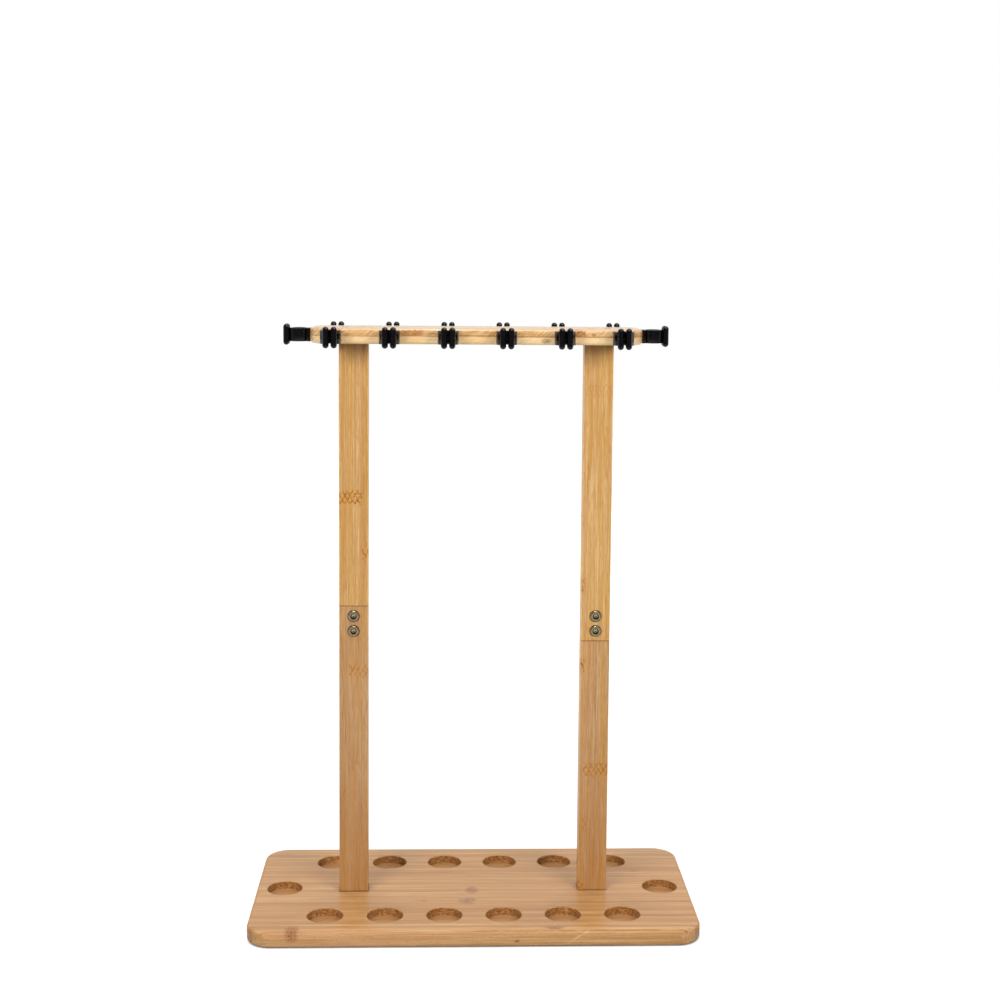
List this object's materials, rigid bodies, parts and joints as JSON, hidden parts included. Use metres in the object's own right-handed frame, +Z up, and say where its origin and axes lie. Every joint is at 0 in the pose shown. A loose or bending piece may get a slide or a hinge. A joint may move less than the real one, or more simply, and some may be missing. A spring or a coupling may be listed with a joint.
{
  "type": "rod rack",
  "caption": "Free-standing bamboo rack that holds fishing rods upright, with butt pockets in a base board, jointed posts and swivelling spring clips on a top rail.",
  "frame": {"origin": "middle of the base board's underside, where the rack stands", "axes": "+Z up, +X along the rack to its right end as seen from the side where the bolt heads show, +Y away from that side"},
  "size_m": [0.434, 0.212, 0.5838],
  "materials": {
    "bamboo_board": "satin",
    "bamboo_post": "satin",
    "clip_plastic": "gloss",
    "bolt_zinc": "yellow zinc plated",
    "screw_steel": "black oxide"
  },
  "bodies": {
    "rack": {"base_board": "bamboo_board", "top_rail": "bamboo_board", "lower_post_left": "bamboo_post", "lower_post_right": "bamboo_post", "upper_post_left": "bamboo_post", "upper_post_right": "bamboo_post", "clip_screw_front_1": "screw_steel", "clip_screw_back_1": "screw_steel", "clip_screw_front_2": "screw_steel", "clip_screw_back_2": "screw_steel", "clip_screw_front_3": "screw_steel", "clip_screw_back_3": "screw_steel", "clip_screw_front_4": "screw_steel", "clip_screw_back_4": "screw_steel", "clip_screw_front_5": "screw_steel", "clip_screw_back_5": "screw_steel", "clip_screw_front_6": "screw_steel", "clip_screw_back_6": "screw_steel", "clip_screw_left": "screw_steel", "clip_screw_right": "screw_steel", "lap_bolt_left_lower": "bolt_zinc", "lap_bolt_left_upper": "bolt_zinc", "lap_bolt_right_lower": "bolt_zinc", "lap_bolt_right_upper": "bolt_zinc", "lap_sleeve_left_lower": "bolt_zinc", "lap_sleeve_left_upper": "bolt_zinc", "lap_sleeve_right_lower": "bolt_zinc", "lap_sleeve_right_upper": "bolt_zinc", "rail_screw_left_1": "screw_steel", "rail_screw_left_2": "screw_steel", "rail_screw_right_1": "screw_steel", "rail_screw_right_2": "screw_steel", "base_screw_left_1": "screw_steel", "base_screw_left_2": "screw_steel", "base_screw_right_1": "screw_steel", "base_screw_right_2": "screw_steel"},
    "clip_front_1": {"rod_clip_front_1": "clip_plastic"},
    "clip_back_1": {"rod_clip_back_1": "clip_plastic"},
    "clip_front_2": {"rod_clip_front_2": "clip_plastic"},
    "clip_back_2": {"rod_clip_back_2": "clip_plastic"},
    "clip_front_3": {"rod_clip_front_3": "clip_plastic"},
    "clip_back_3": {"rod_clip_back_3": "clip_plastic"},
    "clip_front_4": {"rod_clip_front_4": "clip_plastic"},
    "clip_back_4": {"rod_clip_back_4": "clip_plastic"},
    "clip_front_5": {"rod_clip_front_5": "clip_plastic"},
    "clip_back_5": {"rod_clip_back_5": "clip_plastic"},
    "clip_front_6": {"rod_clip_front_6": "clip_plastic"},
    "clip_back_6": {"rod_clip_back_6": "clip_plastic"},
    "clip_left": {"rod_clip_left": "clip_plastic"},
    "clip_right": {"rod_clip_right": "clip_plastic"}
  },
  "joints": [
    {"name": "clip_front_1_swivel", "type": "hinge", "parent": "rack", "child": "clip_front_1", "pos_m": [-0.13925, -0.032, 0.5735], "axis": [0, -1, 0], "range_deg": [-90, 90]},
    {"name": "clip_back_1_swivel", "type": "hinge", "parent": "rack", "child": "clip_back_1", "pos_m": [-0.13925, 0.032, 0.5735], "axis": [0, 1, 0], "range_deg": [-90, 90]},
    {"name": "clip_front_2_swivel", "type": "hinge", "parent": "rack", "child": "clip_front_2", "pos_m": [-0.08355, -0.032, 0.5735], "axis": [0, -1, 0], "range_deg": [-90, 90]},
    {"name": "clip_back_2_swivel", "type": "hinge", "parent": "rack", "child": "clip_back_2", "pos_m": [-0.08355, 0.032, 0.5735], "axis": [0, 1, 0], "range_deg": [-90, 90]},
    {"name": "clip_front_3_swivel", "type": "hinge", "parent": "rack", "child": "clip_front_3", "pos_m": [-0.02785, -0.032, 0.5735], "axis": [0, -1, 0], "range_deg": [-90, 90]},
    {"name": "clip_back_3_swivel", "type": "hinge", "parent": "rack", "child": "clip_back_3", "pos_m": [-0.02785, 0.032, 0.5735], "axis": [0, 1, 0], "range_deg": [-90, 90]},
    {"name": "clip_front_4_swivel", "type": "hinge", "parent": "rack", "child": "clip_front_4", "pos_m": [0.02785, -0.032, 0.5735], "axis": [0, -1, 0], "range_deg": [-90, 90]},
    {"name": "clip_back_4_swivel", "type": "hinge", "parent": "rack", "child": "clip_back_4", "pos_m": [0.02785, 0.032, 0.5735], "axis": [0, 1, 0], "range_deg": [-90, 90]},
    {"name": "clip_front_5_swivel", "type": "hinge", "parent": "rack", "child": "clip_front_5", "pos_m": [0.08355, -0.032, 0.5735], "axis": [0, -1, 0], "range_deg": [-90, 90]},
    {"name": "clip_back_5_swivel", "type": "hinge", "parent": "rack", "child": "clip_back_5", "pos_m": [0.08355, 0.032, 0.5735], "axis": [0, 1, 0], "range_deg": [-90, 90]},
    {"name": "clip_front_6_swivel", "type": "hinge", "parent": "rack", "child": "clip_front_6", "pos_m": [0.13925, -0.032, 0.5735], "axis": [0, -1, 0], "range_deg": [-90, 90]},
    {"name": "clip_back_6_swivel", "type": "hinge", "parent": "rack", "child": "clip_back_6", "pos_m": [0.13925, 0.032, 0.5735], "axis": [0, 1, 0], "range_deg": [-90, 90]},
    {"name": "clip_left_swivel", "type": "hinge", "parent": "rack", "child": "clip_left", "pos_m": [-0.161, 0, 0.5735], "axis": [-1, 0, 0], "range_deg": [-90, 90]},
    {"name": "clip_right_swivel", "type": "hinge", "parent": "rack", "child": "clip_right", "pos_m": [0.161, 0, 0.5735], "axis": [1, 0, 0], "range_deg": [-90, 90]}
  ]
}
